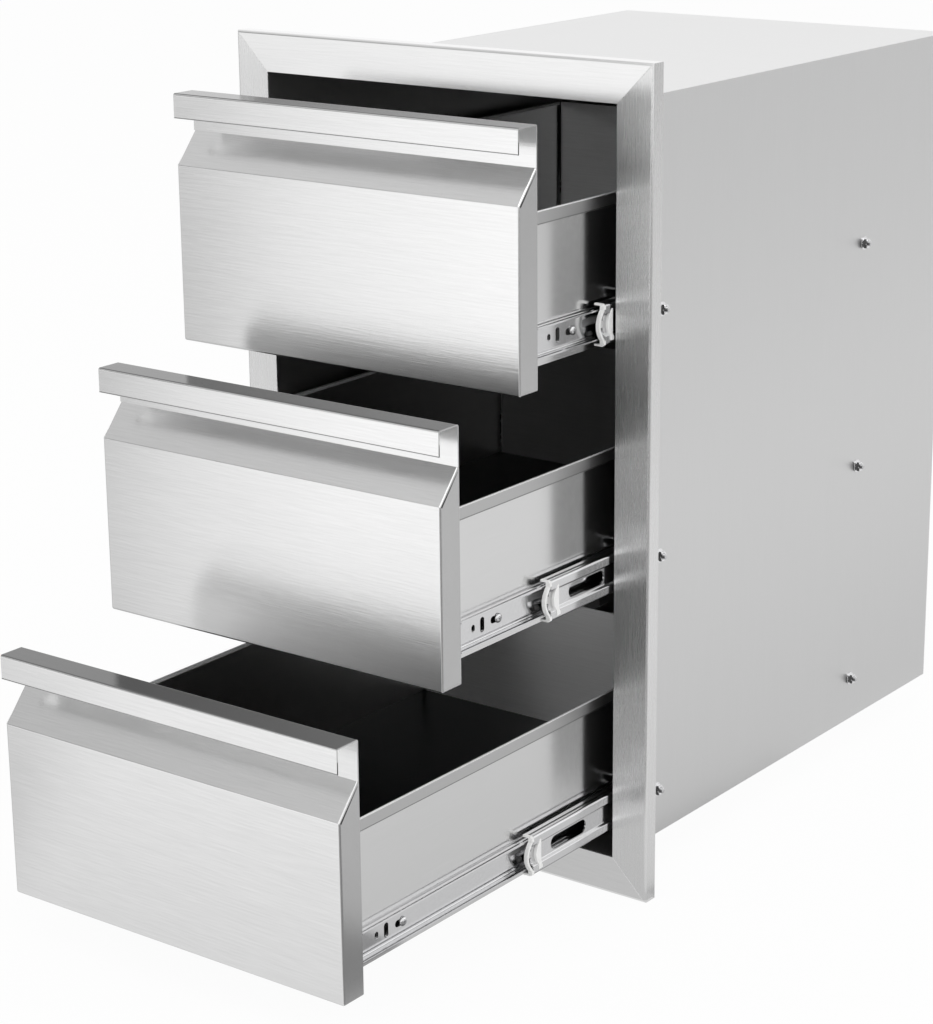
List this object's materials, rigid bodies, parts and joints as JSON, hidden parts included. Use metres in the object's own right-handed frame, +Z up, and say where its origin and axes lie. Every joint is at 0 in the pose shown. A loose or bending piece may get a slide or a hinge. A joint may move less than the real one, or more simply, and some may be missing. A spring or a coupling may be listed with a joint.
{
  "type": "built-in outdoor kitchen drawer unit",
  "caption": "Built-in stainless drawer unit for an outdoor kitchen: a trim frame and cabinet with stacked drawers, folded pull lips and telescopic ball runners.",
  "frame": {"origin": "centre of the wall cut-out, in the plane where the trim's back edges meet the wall", "axes": "+X to the right seen from the front, +Y into the wall, +Z up; the drawers open towards -Y"},
  "size_m": [0.355, 0.755, 0.585],
  "materials": {
    "cabinet_steel": "satin",
    "trim_steel": "brushed",
    "front_steel": "brushed",
    "box_steel": "satin",
    "rail_steel": "zinc plated",
    "cage_steel": "zinc plated",
    "ball_steel": "polished",
    "fastener_steel": "zinc plated",
    "clip_plastic": "moulded"
  },
  "bodies": {
    "cabinet": {"cabinet_top": "cabinet_steel", "cabinet_bottom": "cabinet_steel", "cabinet_left_side": "cabinet_steel", "cabinet_right_side": "cabinet_steel", "cabinet_back": "cabinet_steel", "trim_top": "trim_steel", "trim_bottom": "trim_steel", "trim_left": "trim_steel", "trim_right": "trim_steel", "cabinet_rails": "rail_steel", "runner_bolts": "fastener_steel", "runner_washers": "fastener_steel", "runner_nuts": "fastener_steel"},
    "bottom_runners": {"bottom_intermediate_rails": "rail_steel", "bottom_runner_clips": "clip_plastic"},
    "bottom_drawer": {"bottom_drawer_front": "front_steel", "bottom_box_front": "box_steel", "bottom_box_back": "box_steel", "bottom_box_left": "box_steel", "bottom_box_right": "box_steel", "bottom_box_bottom": "box_steel", "bottom_drawer_rails": "rail_steel", "bottom_runner_screws": "fastener_steel", "bottom_front_screws": "fastener_steel"},
    "bottom_outer_bearing": {"bottom_outer_cages": "cage_steel", "bottom_outer_balls": "ball_steel"},
    "bottom_inner_bearing": {"bottom_inner_cages": "cage_steel", "bottom_inner_balls": "ball_steel"},
    "middle_runners": {"middle_intermediate_rails": "rail_steel", "middle_runner_clips": "clip_plastic"},
    "middle_drawer": {"middle_drawer_front": "front_steel", "middle_box_front": "box_steel", "middle_box_back": "box_steel", "middle_box_left": "box_steel", "middle_box_right": "box_steel", "middle_box_bottom": "box_steel", "middle_drawer_rails": "rail_steel", "middle_runner_screws": "fastener_steel", "middle_front_screws": "fastener_steel"},
    "middle_outer_bearing": {"middle_outer_cages": "cage_steel", "middle_outer_balls": "ball_steel"},
    "middle_inner_bearing": {"middle_inner_cages": "cage_steel", "middle_inner_balls": "ball_steel"},
    "top_runners": {"top_intermediate_rails": "rail_steel", "top_runner_clips": "clip_plastic"},
    "top_drawer": {"top_drawer_front": "front_steel", "top_box_front": "box_steel", "top_box_back": "box_steel", "top_box_left": "box_steel", "top_box_right": "box_steel", "top_box_bottom": "box_steel", "top_drawer_rails": "rail_steel", "top_runner_screws": "fastener_steel", "top_front_screws": "fastener_steel"},
    "top_outer_bearing": {"top_outer_cages": "cage_steel", "top_outer_balls": "ball_steel"},
    "top_inner_bearing": {"top_inner_cages": "cage_steel", "top_inner_balls": "ball_steel"}
  },
  "joints": [
    {"name": "bottom_runner_slide", "type": "slide", "parent": "cabinet", "child": "bottom_runners", "axis": [0, -1, 0], "range_m": [-0.1215, 0.0685]},
    {"name": "bottom_drawer_slide", "type": "slide", "parent": "bottom_runners", "child": "bottom_drawer", "axis": [0, -1, 0], "range_m": [-0.1695, 0.0405]},
    {"name": "bottom_outer_bearing_slide", "type": "slide", "parent": "cabinet", "child": "bottom_outer_bearing", "axis": [0, -1, 0], "range_m": [-0.06075, 0.03425]},
    {"name": "bottom_inner_bearing_slide", "type": "slide", "parent": "bottom_runners", "child": "bottom_inner_bearing", "axis": [0, -1, 0], "range_m": [-0.08475, 0.02025]},
    {"name": "middle_runner_slide", "type": "slide", "parent": "cabinet", "child": "middle_runners", "axis": [0, -1, 0], "range_m": [-0.1005, 0.0895]},
    {"name": "middle_drawer_slide", "type": "slide", "parent": "middle_runners", "child": "middle_drawer", "axis": [0, -1, 0], "range_m": [-0.086, 0.124]},
    {"name": "middle_outer_bearing_slide", "type": "slide", "parent": "cabinet", "child": "middle_outer_bearing", "axis": [0, -1, 0], "range_m": [-0.05025, 0.04475]},
    {"name": "middle_inner_bearing_slide", "type": "slide", "parent": "middle_runners", "child": "middle_inner_bearing", "axis": [0, -1, 0], "range_m": [-0.043, 0.062]},
    {"name": "top_runner_slide", "type": "slide", "parent": "cabinet", "child": "top_runners", "axis": [0, -1, 0], "range_m": [-0.0385, 0.1515]},
    {"name": "top_drawer_slide", "type": "slide", "parent": "top_runners", "child": "top_drawer", "axis": [0, -1, 0], "range_m": [-0.0635, 0.1465]},
    {"name": "top_outer_bearing_slide", "type": "slide", "parent": "cabinet", "child": "top_outer_bearing", "axis": [0, -1, 0], "range_m": [-0.01925, 0.07575]},
    {"name": "top_inner_bearing_slide", "type": "slide", "parent": "top_runners", "child": "top_inner_bearing", "axis": [0, -1, 0], "range_m": [-0.03175, 0.07325]}
  ],
  "couplings": [
    {"joint": "bottom_outer_bearing_slide", "follows": "bottom_runner_slide", "ratio": 0.5},
    {"joint": "bottom_inner_bearing_slide", "follows": "bottom_drawer_slide", "ratio": 0.5},
    {"joint": "middle_outer_bearing_slide", "follows": "middle_runner_slide", "ratio": 0.5},
    {"joint": "middle_inner_bearing_slide", "follows": "middle_drawer_slide", "ratio": 0.5},
    {"joint": "top_outer_bearing_slide", "follows": "top_runner_slide", "ratio": 0.5},
    {"joint": "top_inner_bearing_slide", "follows": "top_drawer_slide", "ratio": 0.5}
  ]
}
